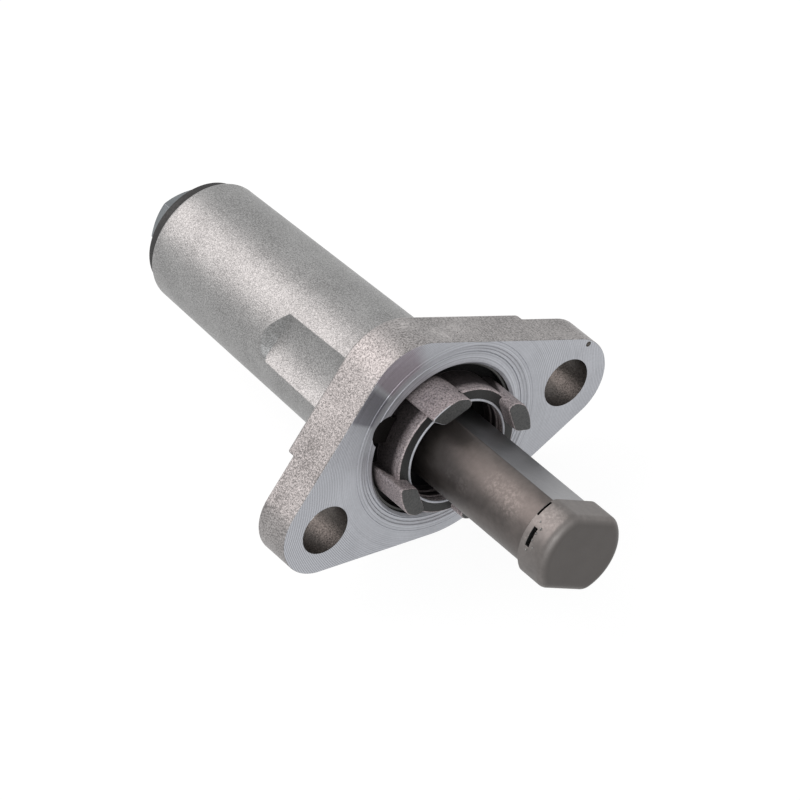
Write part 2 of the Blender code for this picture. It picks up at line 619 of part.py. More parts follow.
def make_seal_washer(parts, frame, finish):
    """The sealing washer under the rear bolt's head."""
    inner = SEAL_THREAD_RADIUS
    front = BARREL_REAR - SEAT_GAP
    profile = [(SEAL_WASHER_RADIUS, front), (SEAL_WASHER_RADIUS, WASHER_REAR), (inner, WASHER_REAR),
               (inner, front)]
    washer = turned("seal_washer", profile, parts, frame)
    washer.data.materials.append(finish)
    return washer


def make_seal_bolt(parts, cutters, frame, finish):
    """The hexagon-headed bolt that closes the key hole."""
    corner = HEX_ACROSS_FLATS / math.sqrt(3.0)
    outline = [polar(corner, HEX_CORNER_ANGLE + 60.0 * index) for index in range(6)]
    head_rear = HEX_FRONT - HEX_HEIGHT
    bolt = plate("seal_bolt", outline, HEX_FRONT, head_rear, parts, frame)
    bolt.data.materials.append(finish)
    chamfer_profile = [(0.0, HEX_FRONT + CUTTER_EXCESS),
                       (corner + CUTTER_EXCESS, HEX_FRONT + CUTTER_EXCESS),
                       (corner + CUTTER_EXCESS, head_rear + HEX_CHAMFER + CUTTER_EXCESS / 2),
                       (HEX_ACROSS_FLATS / 2, head_rear), (0.0, head_rear)]
    combine(bolt, as_cutter(turned("hex_chamfer", chamfer_profile, cutters, frame, closed=False)),
            "INTERSECT")
    shank = rod("seal_shank", SEAL_THREAD_RADIUS - SEAT_GAP, BARREL_REAR + SEAL_SHANK_LENGTH,
                HEX_FRONT - HEX_HEIGHT / 2, cutters, frame, SMALL_STEPS)
    return combine(bolt, as_cutter(shank), "UNION")


def joint_empty(name, parent, group):
    """An empty on the bore's axis that carries one moving body."""
    empty = bpy.data.objects.new(name, None)
    group.objects.link(empty)
    empty.parent = parent
    return empty


def build():
    """Clears the scene and models the tensioner."""
    for item in list(bpy.data.objects):
        bpy.data.objects.remove(item)
    parts = collection("timing_chain_tensioner")
    cutters = collection("tensioner_cutters")

    cast = material("cast_aluminium", (0.62, 0.60, 0.58), 0.45)
    sintered = material("sintered_steel", (0.24, 0.23, 0.23), 0.60)
    spring_steel = material("spring_steel", (0.30, 0.29, 0.28), 0.40)
    ground = material("ground_steel", (0.22, 0.20, 0.19), 0.35)
    capped = material("cap_steel", (0.20, 0.18, 0.17), 0.45)
    bright = material("bright_steel", (0.55, 0.54, 0.52), 0.30)
    plated = material("plated_bolt", (0.40, 0.42, 0.44), 0.40)
    rubber = material("seal_rubber", (0.02, 0.02, 0.02), 0.70, 0.0)

    frame = bpy.data.objects.new("bore_axis", None)
    parts.objects.link(frame)
    frame.rotation_euler = (math.pi / 2, 0.0, 0.0)
    screw_axis = joint_empty("screw_axis", frame, parts)
    plunger_axis = joint_empty("plunger_axis", frame, parts)

    make_housing(parts, cutters, frame, cast)
    make_guide_ring(parts, cutters, frame, sintered)
    make_retaining_ring(parts, frame, spring_steel)
    make_plunger(parts, cutters, plunger_axis, ground)
    make_cap(parts, cutters, plunger_axis, capped)
    make_screw(parts, cutters, screw_axis, bright)
    make_spring(parts, screw_axis, spring_steel)
    make_sleeve(parts, frame, bright)
    make_thrust_seat(parts, frame, bright)
    make_seal_washer(parts, frame, rubber)
    make_seal_bolt(parts, cutters, frame, plated)


build()
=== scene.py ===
import math

import bmesh
import bpy
from bpy.props import FloatProperty, FloatVectorProperty, PointerProperty
from mathutils import Matrix, Vector


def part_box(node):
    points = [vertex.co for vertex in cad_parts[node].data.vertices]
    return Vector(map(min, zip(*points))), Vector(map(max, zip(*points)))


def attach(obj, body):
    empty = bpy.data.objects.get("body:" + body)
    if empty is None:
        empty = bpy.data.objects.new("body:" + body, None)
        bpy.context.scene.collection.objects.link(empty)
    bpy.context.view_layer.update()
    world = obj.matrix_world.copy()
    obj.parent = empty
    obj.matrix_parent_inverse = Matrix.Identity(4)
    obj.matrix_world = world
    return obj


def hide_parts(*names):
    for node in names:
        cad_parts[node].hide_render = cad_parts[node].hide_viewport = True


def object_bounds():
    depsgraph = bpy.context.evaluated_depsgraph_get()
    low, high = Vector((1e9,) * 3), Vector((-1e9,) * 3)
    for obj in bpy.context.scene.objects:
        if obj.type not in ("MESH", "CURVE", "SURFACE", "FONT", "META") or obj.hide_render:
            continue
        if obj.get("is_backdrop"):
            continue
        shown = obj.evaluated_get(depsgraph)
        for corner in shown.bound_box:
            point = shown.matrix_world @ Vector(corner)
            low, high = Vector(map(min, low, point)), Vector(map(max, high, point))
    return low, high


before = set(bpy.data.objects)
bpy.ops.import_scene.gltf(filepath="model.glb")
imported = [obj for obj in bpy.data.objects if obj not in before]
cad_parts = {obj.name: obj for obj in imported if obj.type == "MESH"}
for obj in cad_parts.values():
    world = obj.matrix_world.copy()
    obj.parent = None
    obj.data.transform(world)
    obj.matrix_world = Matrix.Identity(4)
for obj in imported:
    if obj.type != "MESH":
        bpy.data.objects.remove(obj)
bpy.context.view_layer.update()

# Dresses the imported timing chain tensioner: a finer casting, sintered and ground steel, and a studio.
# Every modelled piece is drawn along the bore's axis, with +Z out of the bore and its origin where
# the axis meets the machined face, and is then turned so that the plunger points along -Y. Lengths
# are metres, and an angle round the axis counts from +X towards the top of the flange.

bl_info = {
    "name": "Timing Chain Tensioner Dresser",
    "version": (1, 0, 0),
    "blender": (4, 5, 0),
    "location": "View3D > Sidebar > Tensioner",
    "description": "Models and finishes a screw-type timing chain tensioner around its packed frame",
    "category": "Object",
}

MM = 0.001
# Steps round a large and a small circle, and how far a cutting tool reaches past the metal.
ROUND = 160
SMALL_ROUND = 72
CUT = 1.0 * MM
LAMP_DISTANCE = 0.6
# Millimetres between turning lines, and where their centre lies beside the bore's axis.
FEED = 0.24
FACE_CENTRE = (0.25 * MM, 0.68 * MM)
# Painted reflection wedges of the machined face, a mauve one and a darker bluish one: first degree,
# degrees of soft start, last degree and tint.
REFLECTION_WEDGES = ((92.0, 7.0, 119.5, (0.82, 0.73, 0.76)), (119.5, 3.0, 139.0, (0.52, 0.51, 0.53)))
# Scuffs of each finish: the middle and the reach of every one, in millimetres.
SCUFFS = {"ground": (((-2.7, 4.4, 16.2), 2.6), ((-3.2, 4.0, 17.8), 2.0), ((-4.5, 2.4, 9.6), 1.6),
                     ((-4.4, 2.6, 7.0), 1.2), ((-2.6, 4.4, 13.6), 2.0)),
          "flat": (((2.6, 3.4, 20.4), 3.2), ((1.6, 4.2, 17.0), 1.6)),
          "cap": (((-1.6, 5.7, 23.4), 2.4), ((-4.9, 3.3, 22.6), 1.4)),
          "wall": (((3.0, 14.0, -2.0), 2.2), ((5.5, 12.6, -3.0), 1.8), ((-0.5, 15.8, -4.6), 1.8))}
# Nicks of the casting: x, y, height and radius.
NICKS = ((21.9 * MM, 1.4 * MM, 0.15 * MM, 0.4 * MM), (3.1 * MM, 13.6 * MM, -1.2 * MM, 0.3 * MM),
         (5.2 * MM, 12.4 * MM, -2.2 * MM, 0.25 * MM))
# Burrs beside the cap's slot: degrees, height above the cap's rim and radius.
BURRS = ((125.0, 1.95 * MM, 0.20 * MM), (132.0, 1.75 * MM, 0.16 * MM), (148.0, 2.2 * MM, 0.15 * MM),
         (155.0, 1.35 * MM, 0.17 * MM), (119.0, 1.25 * MM, 0.14 * MM), (141.0, 1.7 * MM, 0.15 * MM))
UPRIGHT = Matrix.Rotation(math.pi / 2, 4, "X")
# Lamps: name, degrees round the object, degrees above the floor, side, watts and tint.
LAMPS = (("key_lamp", 204.0, 42.0, 0.52, 2.1, (1.0, 0.91, 0.895)),
         ("front_lamp", 330.0, 30.0, 0.45, 1.3, (0.96, 0.98, 1.0)))
FILL_STRENGTH = 0.50
FLOOR_SIZE = 3.0
FLOOR_GAP = 0.2 * MM
FLOOR_GLOW = 1.16
FLOOR_GLOW_SHARE = 0.8
CAMERA_PLACE = (-0.226083, -0.370873, 0.413994)
CAMERA_AZIMUTH = -30.78
CAMERA_HEIGHT = 43.09
CAMERA_ROLL = -9.03
CAMERA_LENS = 229.0


def length(name, description, default):
    """A length property in metres."""
    return FloatProperty(name=name, description=description, default=default, min=0.0, unit="LENGTH",
                         precision=5)


def angle(name, description, degrees):
    """An angle property whose default is given in degrees."""
    return FloatProperty(name=name, description=description, default=math.radians(degrees),
                         subtype="ANGLE")


def colour(name, description, default):
    """A colour property."""
    return FloatVectorProperty(name=name, description=description, default=default, size=3, min=0.0,
                               max=1.0, subtype="COLOR")


class HousingSizes(bpy.types.PropertyGroup):
    """Sizes of the casting."""
    bolt_spacing: length("Bolt spacing", "Between the two bolt holes", 36.0 * MM)
    bolt_drop: length("Bolt drop", "From the bore's axis down to the bolt line", 2.4 * MM)
    bolt_hole_radius: length("Bolt hole radius", "Radius of a bolt hole", 3.25 * MM)
    lobe_radius: length("Lobe radius", "Round end of the flange", 6.0 * MM)
    lobe_thickness: length("Lobe thickness", "Metal left under a bolt's head", 5.0 * MM)
    spot_face_radius: length("Spot face radius", "Recess round a bolt's head", 8.4 * MM)
    flange_thickness: length("Flange thickness", "At the middle of the flange", 6.4 * MM)
    hub_radius: length("Hub radius", "Round bottom of the flange", 13.5 * MM)
    boss_offset: FloatProperty(name="Boss offset", description="Boss centre along the flange",
                               default=-3.07 * MM, unit="LENGTH", precision=5)
    boss_height: length("Boss height", "Boss centre above the bore's axis", 9.1 * MM)
    boss_radius: length("Boss radius", "Round top of the flange", 7.4 * MM)
    barrel_front_radius: length("Barrel radius at the flange", "Outside, at the fillet", 9.2 * MM)
    barrel_rear_radius: length("Barrel radius at the rear", "Outside, at the end", 8.3 * MM)
    barrel_fillet: length("Barrel fillet", "Where the barrel meets the flange", 1.0 * MM)
    counterbore_radius: length("Counterbore radius", "Mouth of the bore", 10.25 * MM)
    counterbore_depth: length("Counterbore depth", "Depth of the mouth", 4.4 * MM)
    bore_radius: length("Bore radius", "Inside of the barrel", 6.28 * MM)
    mouth_ring_width: length("Mouth ring width", "Turned step round the mouth", 1.55 * MM)
    mouth_ring_depth: length("Mouth ring depth", "Depth of that step", 0.25 * MM)
    notch_radius: length("Notch radius", "Relief for the snap ring's ends", 2.25 * MM)
    notch_inset: length("Notch inset", "Its centre inside the mouth's wall", 0.67 * MM)
    notch_depth: length("Notch depth", "Depth of the relief", 2.2 * MM)
    notch_angle: angle("Notch angle", "Place of the relief round the mouth", 139.7)
    scallop_angle: angle("Scallop angle", "Place of the hollow round the barrel", 143.0)
    scallop_floor: length("Scallop floor", "From the axis to the hollow's floor", 7.33 * MM)
    scallop_radius: length("Scallop radius", "Roundness of the hollow", 7.9 * MM)
    scallop_length: length("Scallop length", "Along its floor, from the flange", 17.5 * MM)
    scallop_side: length("Scallop side", "From its middle to its lower edge", 3.8 * MM)
    scallop_corner: length("Scallop corner", "Rounded corner at its rear end", 2.1 * MM)
    scallop_skew: angle("Scallop skew", "Slant of its rear end", 25.0)
    scallop_lean: angle("Scallop lean", "How far its rear end leans back", 40.0)


class SteelSizes(bpy.types.PropertyGroup):
    """Sizes of the steel pieces that show."""
    plunger_radius: length("Plunger radius", "Round sides of the plunger", 5.13 * MM)
    plunger_flat: length("Plunger flat", "From the axis to a flat", 4.3 * MM)
    plunger_front: length("Plunger front", "How far its body runs out of the bore", 22.4 * MM)
    plunger_rear: length("Plunger rear", "How far it reaches into the bore", 7.0 * MM)
    spigot_radius: length("Spigot radius", "Nose that the cap is pressed on", 4.1 * MM)
    spigot_front: length("Spigot front", "End of the nose", 24.7 * MM)
    tube_radius: length("Tube radius", "Inside of the plunger", 3.55 * MM)
    flat_angle: angle("Flat angle", "Direction that the upper flat faces", 52.5)
    cap_radius: length("Cap radius", "Round sides of the cap", 5.95 * MM)
    cap_flat: length("Cap flat", "From the axis to a flat of the cap", 4.85 * MM)
    cap_rear: length("Cap rear", "Place of the cap's rim along the axis", 21.6 * MM)
    cap_front: length("Cap front", "Place of the cap's end face", 26.2 * MM)
    cap_round: length("Cap rounding", "Round edge of the end face", 1.2 * MM)
    cap_corner: length("Cap corner", "Round corner beside a flat", 1.9 * MM)
    claw_inner: length("Claw inner flat", "From the axis to the flat inside of a claw", 7.15 * MM)
    claw_outer: length("Claw outer radius", "Outside of the claws", 9.6 * MM)
    claw_reach: length("Claw reach", "How far the claws stand out", 4.3 * MM)
    claw_angle: angle("Claw angle", "Place of the first claw", 7.5)
    web_inner: length("Web inner radius", "Round recess inside the claws", 6.8 * MM)
    web_radius: length("Web radius", "Outside of the ring that joins the claws", 8.5 * MM)
    web_reach: length("Web reach", "How far that ring stands out", 2.3 * MM)
    recess_depth: length("Recess depth", "Depth of the round recess", 1.2 * MM)
    snap_inner: length("Snap ring inner radius", "Inside of the retaining ring", 9.9 * MM)
    snap_outer: length("Snap ring outer radius", "Outside of the retaining ring", 10.75 * MM)
    hex_flats: length("Hexagon", "Across the flats of the rear bolt", 8.0 * MM)
    hex_height: length("Hexagon height", "Of the rear bolt's head", 4.0 * MM)
    washer_radius: length("Washer radius", "Outside of the seal washer", 7.5 * MM)


class FinishColours(bpy.types.PropertyGroup):
    """Colours of the finishes."""
    cast: colour("Casting", "Bead-blasted aluminium", (0.279, 0.279, 0.277))
    wall: colour("Flange wall", "Rougher skin of the casting", (0.277, 0.264, 0.260))
    # Hole walls are a dark casting colour that stands in for the shade inside the bolt holes and nicks.
    hole: colour("Hole walls", "Drilled and cored walls", (0.088, 0.079, 0.073))
    machined: colour("Machined face", "Turned aluminium", (0.450, 0.460, 0.492))
    sintered: colour("Sintered steel", "Sides of the guide ring", (0.402, 0.348, 0.351))
    # Pressed steel is partly the pressed surface and partly painted shade on the faces that look forward.
    pressed: colour("Pressed steel", "Ends of the claws", (0.075, 0.075, 0.074))
    ground: colour("Ground steel", "Round sides of the plunger", (0.119, 0.106, 0.100))
    flat: colour("Milled flat", "Flats of the plunger", (0.202, 0.202, 0.209))
    cap: colour("Cap steel", "Pressed cap", (0.176, 0.163, 0.156))
    bright: colour("Bright steel", "Screw, sleeve and seat", (0.250, 0.245, 0.240))
    spring: colour("Spring steel", "Snap ring and torsion spring", (0.070, 0.070, 0.068))
    plated: colour("Plated steel", "Rear bolt", (0.190, 0.205, 0.215))
    rubber: colour("Seal", "Washer under the rear bolt", (0.012, 0.012, 0.012))
    floor: colour("Floor", "Floor and backdrop", (0.56, 0.56, 0.56))


class Finish:
    """A Principled material that is built up node by node, in millimetres of the piece's own frame."""

    def __init__(self, name, metallic):
        self.material = bpy.data.materials.new(name)
        self.material.use_nodes = True
        self.tree = self.material.node_tree
        self.shader = self.tree.nodes["Principled BSDF"]
        self.shader.inputs["Metallic"].default_value = metallic
        place = self.add("ShaderNodeTexCoord").outputs["Object"]
        self.mm = self.add("ShaderNodeVectorMath", {0: place, "Scale": 1.0 / MM},
                           operation="SCALE").outputs[0]

    def add(self, kind, sockets=None, **settings):
        """A node with these settings, its sockets filled with values or links."""
        item = self.tree.nodes.new(kind)
        for key, value in settings.items():
            setattr(item, key, value)
        for key, value in (sockets or {}).items():
            if isinstance(value, bpy.types.NodeSocket):
                self.tree.links.new(value, item.inputs[key])
            else:
                item.inputs[key].default_value = value
        return item

    def noise(self, scale, detail=3.0, rough=0.55, vector=None):
        """Noise with this many cells a millimetre."""
        return self.add("ShaderNodeTexNoise", {"Vector": vector or self.mm, "Scale": scale,
                                               "Detail": detail, "Roughness": rough}).outputs["Fac"]

    def ramp(self, factor, low, high, start=0.0, end=1.0):
        """A value that goes from start to end as the factor goes from low to high."""
        return self.add("ShaderNodeMapRange", {"Value": factor, "From Min": low, "From Max": high,
                                               "To Min": start, "To Max": end}).outputs["Result"]

    def math(self, operation, first, second=0.0):
        """One step of arithmetic."""
        return self.add("ShaderNodeMath", {0: first, 1: second}, operation=operation).outputs[0]

    def blend(self, factor, first, second):
        """A colour between two colours."""
        colours = [item if isinstance(item, bpy.types.NodeSocket) else (*item, 1.0)
                   for item in (first, second)]
        return self.add("ShaderNodeMix", {"Factor": factor, "A": colours[0], "B": colours[1]},
                        data_type="RGBA").outputs["Result"]

    def bump(self, height, depth, rounding=0.0):
        """A normal that follows a height, whose full swing is this depth, with rounded edges."""
        sockets = {"Height": height, "Strength": 1.0, "Distance": depth}
        if rounding > 0.0:
            sockets["Normal"] = self.add("ShaderNodeBevel", {"Radius": rounding},
                                         samples=4).outputs["Normal"]
        return self.add("ShaderNodeBump", sockets).outputs["Normal"]

    def finish(self, **sockets):
        """Fills the shader's sockets and returns the material."""
        for key, value in sockets.items():
            socket = self.shader.inputs[key.replace("_", " ").title()]
            if isinstance(value, bpy.types.NodeSocket):
                self.tree.links.new(value, socket)
            elif isinstance(value, (tuple, list)):
                socket.default_value = (*value, 1.0)
            else:
                socket.default_value = value
        return self.material


def shade(tint, factor):
    """A darker or lighter copy of a colour."""
    return tuple(min(1.0, part * factor) for part in tint)


def cast_finish(name, tint, contrast=0.34, coarse=1.0, places=(), metallic=0.85):
    """Bead-blasted casting: fine pits, soft blotches and a satin gloss."""
    look = Finish(name, metallic)
    grain = look.noise(6.0 / coarse, 2.0, 0.6)
    pits = look.noise(2.4 / coarse, 3.0, 0.65)
    blotch = look.noise(0.22, 3.0, 0.5)
    tone = look.math("ADD", look.math("MULTIPLY", grain, 0.80), look.math("MULTIPLY", blotch, 0.20))
    base = look.blend(look.ramp(tone, 0.38, 0.62), shade(tint, 1.0 - contrast),
                      shade(tint, 1.0 + contrast))
    base = scuffed(look, base, shade(tint, 1.9), places, 1.6, (0.25, 1.6, 1.6))
    height = look.math("ADD", look.math("MULTIPLY", grain, 0.7), look.math("MULTIPLY", pits, 0.5))
    return look.finish(base_color=base, roughness=look.ramp(pits, 0.3, 0.7, 0.38, 0.48),
                       normal=look.bump(height, 0.04 * coarse * MM, 0.15 * MM))


def turned_finish(name, tint):
    """Turned aluminium: rings that grow coarse towards the lobes, and painted reflection wedges in one
    corner.
    """
    look = Finish(name, 0.75)
    centre = (-FACE_CENTRE[0] / MM, -FACE_CENTRE[1] / MM, 0.0)
    moved = look.add("ShaderNodeVectorMath", {0: look.mm, 1: centre}, operation="ADD").outputs[0]
    flat = look.add("ShaderNodeVectorMath", {0: moved, 1: (1.0, 1.0, 0.0)},
                    operation="MULTIPLY").outputs[0]
    radius = look.add("ShaderNodeVectorMath", {0: flat}, operation="LENGTH").outputs["Value"]
    coarse = look.ramp(radius, 13.5, 16.5, 0.12, 1.0)
    feed = look.math("SINE", look.math("MULTIPLY", radius, math.tau / FEED))
    feed = look.math("MULTIPLY", feed, coarse)
    mouth = look.ramp(radius, 13.0, 13.4, 1.0, 0.0)
    rings = look.add("ShaderNodeTexNoise", {"W": radius, "Scale": 2.2, "Detail": 5.0,
                                            "Roughness": 0.75}, noise_dimensions="1D").outputs["Fac"]
    height = look.math("ADD", look.math("MULTIPLY", rings, 0.8), look.math("MULTIPLY", feed, 0.5))
    cloud = look.noise(0.16, 3.0)
    zone = look.ramp(look.noise(0.11, 1.0), 0.42, 0.58, 0.10, 0.42)
    fleck = look.noise(3.0, 2.0)
    tone = look.math("ADD", look.math("MULTIPLY", rings, 0.40), look.math("MULTIPLY", cloud, 0.38))
    tone = look.math("ADD", tone, look.math("MULTIPLY", fleck, 0.22))
    tone = look.math("ADD", tone, look.math("MULTIPLY", feed, zone))
    bands = look.add("ShaderNodeTexNoise", {"W": radius, "Scale": 5.0, "Detail": 3.0,
                                            "Roughness": 0.6}, noise_dimensions="1D").outputs["Fac"]
    bands = look.math("MULTIPLY", look.math("SUBTRACT", bands, 0.5), mouth)
    tone = look.math("ADD", tone, look.math("MULTIPLY", bands, 1.1))
    base = look.blend(look.ramp(tone, 0.30, 0.70), shade(tint, 0.74), shade(tint, 1.15))
    parts = look.add("ShaderNodeSeparateXYZ", {"Vector": look.mm}).outputs
    turn = look.math("ARCTAN2", parts["Y"], parts["X"])
    beyond = look.ramp(radius, 12.2, 12.6)
    # Painted reflection: beyond the mouth, each wedge multiplies the base colour by its tint.
    for start, soft, end, wedge_tint in REFLECTION_WEDGES:
        inside = look.math("MULTIPLY",
                           look.ramp(turn, math.radians(start), math.radians(start + soft)),
                           look.ramp(turn, math.radians(end), math.radians(end - 2)))
        share = look.math("MULTIPLY", inside, beyond)
        base = look.add("ShaderNodeMix", {"Factor": share, "A": base, "B": (*wedge_tint, 1.0)},
                        data_type="RGBA", blend_type="MULTIPLY").outputs["Result"]
    return look.finish(base_color=base, roughness=look.ramp(rings, 0.3, 0.7, 0.34, 0.46),
                       normal=look.bump(height, 0.02 * MM, 0.08 * MM))


def sintered_finish(name, tint, contrast, reach):
    """Pressed and sintered powder: grains, open pores, and painted shade down inside this reach in mm."""
    look = Finish(name, 0.45)
    parts = look.add("ShaderNodeSeparateXYZ", {"Vector": look.mm}).outputs
    out = look.math("SQRT", look.math("ADD", look.math("MULTIPLY", parts["X"], parts["X"]),
                                      look.math("MULTIPLY", parts["Y"], parts["Y"])))
    # Painted shade: towards the back of the bore the colour turns nearly black and fully metallic, and
    # the claws' outer faces stay lit deeper.
    open_side = look.math("ADD", parts["Z"], look.ramp(out, 8.7, 9.3, 0.0, 2.2))
    unshaded = look.math("MAXIMUM", look.ramp(open_side, 0.8, 1.6, 0.16, 1.0),
                      look.ramp(out, reach, reach + 0.1))
    grain = look.noise(5.0, 3.0, 0.7)
    pores = look.add("ShaderNodeTexVoronoi", {"Vector": look.mm, "Scale": 3.2}).outputs["Distance"]
    base = look.blend(look.ramp(grain, 0.36, 0.66), shade(tint, 1.0 - contrast),
                      shade(tint, 1.0 + contrast))
    base = look.blend(unshaded, shade(tint, 0.05), base)
    height = look.math("ADD", grain, look.math("MULTIPLY", look.ramp(pores, 0.0, 0.35), 0.5))
    return look.finish(base_color=base, roughness=look.ramp(grain, 0.3, 0.7, 0.42, 0.62),
                       metallic=look.ramp(unshaded, 0.0, 1.0, 1.0, 0.45),
                       normal=look.bump(height, 0.04 * MM, 0.18 * MM))


def scuffed(look, base, tint, places, strength, grain=(1.0, 1.0, 1.0)):
    """The base colour with soft bright specks or streaks round these places."""
    drawn = look.add("ShaderNodeVectorMath", {0: look.mm, 1: grain}, operation="MULTIPLY").outputs[0]
    specks = look.ramp(look.noise(2.6, 4.0, 0.65, drawn), 0.45, 0.70)
    for place, reach in places:
        away = look.add("ShaderNodeVectorMath", {0: look.mm, 1: place},
                        operation="DISTANCE").outputs["Value"]
        share = look.math("MULTIPLY", look.ramp(away, reach, 0.0, 0.0, strength), specks)
        base = look.blend(share, base, tint)
    return base


def steel_finish(name, tint, gloss, places=(), painted_light_fade=None, metallic=0.95):
    """Steel with a soft sheen, bright scuffs and darker patches; it may shift along the axis to a lighter
    or darker copy of its colour, as painted light.
    """
    look = Finish(name, metallic)
    patch = look.noise(0.30, 3.0)
    fine = look.noise(7.0, 2.0)
    mottle = look.noise(1.3, 3.0, 0.6)
    tone = look.math("ADD", look.math("MULTIPLY", patch, 0.6), look.math("MULTIPLY", mottle, 0.4))
    base = look.blend(look.ramp(tone, 0.36, 0.66), shade(tint, 0.84), shade(tint, 1.15))
    # Painted light: along the axis the colour shifts to a copy scaled by the factor.
    if painted_light_fade:
        low, high, factor = painted_light_fade
        far = look.ramp(look.add("ShaderNodeSeparateXYZ", {"Vector": look.mm}).outputs["Z"], low, high)
        base = look.blend(far, base, shade(tint, factor))
    base = scuffed(look, base, shade(tint, 2.2), places, 0.5)
    rough = look.ramp(look.math("ADD", look.math("MULTIPLY", patch, 0.7),
                                look.math("MULTIPLY", fine, 0.3)), 0.3, 0.7, gloss, gloss + 0.14)
    return look.finish(base_color=base, roughness=rough, normal=look.bump(fine, 0.008 * MM, 0.1 * MM))


def rubber_finish(name, tint):
    """Matt black seal with a faint mould grain."""
    look = Finish(name, 0.0)
    grain = look.noise(3.0, 3.0)
    base = look.blend(grain, shade(tint, 0.7), shade(tint, 1.6))
    return look.finish(base_color=base, roughness=look.ramp(grain, 0.3, 0.7, 0.55, 0.75),
                       normal=look.bump(grain, 0.02 * MM))


FINISHES = {
    "cast": lambda tints: cast_finish("cast_aluminium", tints.cast),
    "wall": lambda tints: cast_finish("cast_wall", tints.wall, 0.46, 1.25, SCUFFS["wall"]),
    # Painted shade: the hole walls and nicks are much darker than the casting.
    "hole": lambda tints: cast_finish("hole_walls_shaded", tints.hole, 0.40, 1.2),
    # Painted shade: a darker copy of the wall colour for the bore inside the mouth.
    "bore": lambda tints: cast_finish("bore_wall_shaded", shade(tints.wall, 0.62), 0.25, 1.2, (), 0.3),
    # Painted shade: near black, for the pry notch, the rim notch, the rim slot and the pit.
    "pit": lambda tints: cast_finish("black_pit_shade", shade(tints.hole, 0.15), 0.3),
    "machined": lambda tints: turned_finish("turned_aluminium", tints.machined),
    "sintered": lambda tints: sintered_finish("sintered_steel", tints.sintered, 0.58, 20.0),
    # Partly painted shade: the forward faces get a much darker copy of the sintered colour.
    "pressed": lambda tints: sintered_finish("pressed_steel_and_shade", tints.pressed, 0.40, 8.4),
    # Painted shade: a much darker copy of the pressed colour, for the guide ring's hole, web front,
    # recess floor and base front, and for the cap's stake slot.
    "painted_shade": lambda tints: sintered_finish("painted_shade_steel", shade(tints.pressed, 0.35), 0.25, 20.0),
    "ground": lambda tints: steel_finish("ground_steel", tints.ground, 0.34, SCUFFS["ground"]),
    # Painted reflection: the flat grows lighter towards the cap.
    "flat": lambda tints: steel_finish("milled_flat", shade(tints.flat, 0.72), 0.30, SCUFFS["flat"],
                                       (6.0, 22.0, 1.9)),
    # Painted shade: the cap's end face is darker.
    "cap": lambda tints: steel_finish("cap_steel", tints.cap, 0.40, SCUFFS["cap"],
                                      (25.7, 26.15, 0.60)),
    # Painted highlight: a lighter, less metallic copy of the machined colour for the mouth's chamfer, the
    # web's lip and one claw's front edge.
    "edge": lambda tints: steel_finish("edge_highlights", shade(tints.machined, 1.1), 0.45, (), None,
                                       0.35),
    "bright": lambda tints: steel_finish("bright_steel", tints.bright, 0.25),
    "spring": lambda tints: steel_finish("spring_steel", tints.spring, 0.35),
    "plated": lambda tints: steel_finish("plated_steel", tints.plated, 0.28),
    "rubber": lambda tints: rubber_finish("seal_rubber", tints.rubber),
}
MADE = {}


def finish_of(kind):
    """The material of this kind, made when it is first asked for."""
    if kind not in MADE:
        MADE[kind] = FINISHES[kind](bpy.context.scene.tensioner_colours)
    return MADE[kind]


def polar(radius, turn):
    """A point of the drawing plane at this radius and angle in radians."""
    return (radius * math.cos(turn), radius * math.sin(turn))


def arc(centre, radius, start, end, steps):
    """Points along an arc, both ends included, with its angles in degrees."""
    points = []
    for step in range(steps + 1):
        x, y = polar(radius, math.radians(start + (end - start) * step / steps))
        points.append((centre[0] + x, centre[1] + y))
    return points


def hull_outline(circles, steps):
    """Outline stretched round circles, from the circle that reaches furthest each way."""
    points = []
    for step in range(steps):
        along = Vector(polar(1.0, math.tau * step / steps))
        centre, radius = max(circles, key=lambda circle: along.dot(Vector(circle[0])) + circle[1])
        points.append(tuple(Vector(centre) + radius * along))
    return points


def new_piece(name, mesh, kind):
    """A new object of this mesh in the drawing frame, with one finish."""
    piece = bpy.data.objects.new(name, mesh)
    bpy.context.scene.collection.objects.link(piece)
    piece.matrix_world = UPRIGHT
    mesh.materials.append(finish_of(kind))
    return piece


def turned(name, profile, kind, steps=ROUND, closed=True):
    """A turned piece: its profile of (radius, height) runs down its outer side."""
    mesh = bpy.data.meshes.new(name)
    rows = [(radius, 0.0, height) for radius, height in profile]
    edges = [(index, index + 1) for index in range(len(rows) - 1)]
    if closed:
        edges.append((len(rows) - 1, 0))
    mesh.from_pydata(rows, edges, [])
    piece = new_piece(name, mesh, kind)
    screw = piece.modifiers.new("Turn", "SCREW")
    screw.steps = screw.render_steps = steps
    screw.use_merge_vertices = True
    screw.merge_threshold = 0.001 * MM
    return piece


def rod(name, radius, top, bottom, kind, at=(0.0, 0.0), steps=SMALL_ROUND, foot=None):
    """A round bar between two heights, which may taper to another radius at its foot."""
    mesh = bpy.data.meshes.new(name)
    shape = bmesh.new()
    middle = Matrix.Translation((at[0], at[1], (top + bottom) / 2))
    bmesh.ops.create_cone(shape, cap_ends=True, segments=steps, radius1=foot or radius,
                          radius2=radius, depth=top - bottom, matrix=middle)
    shape.to_mesh(mesh)
    shape.free()
    return new_piece(name, mesh, kind)


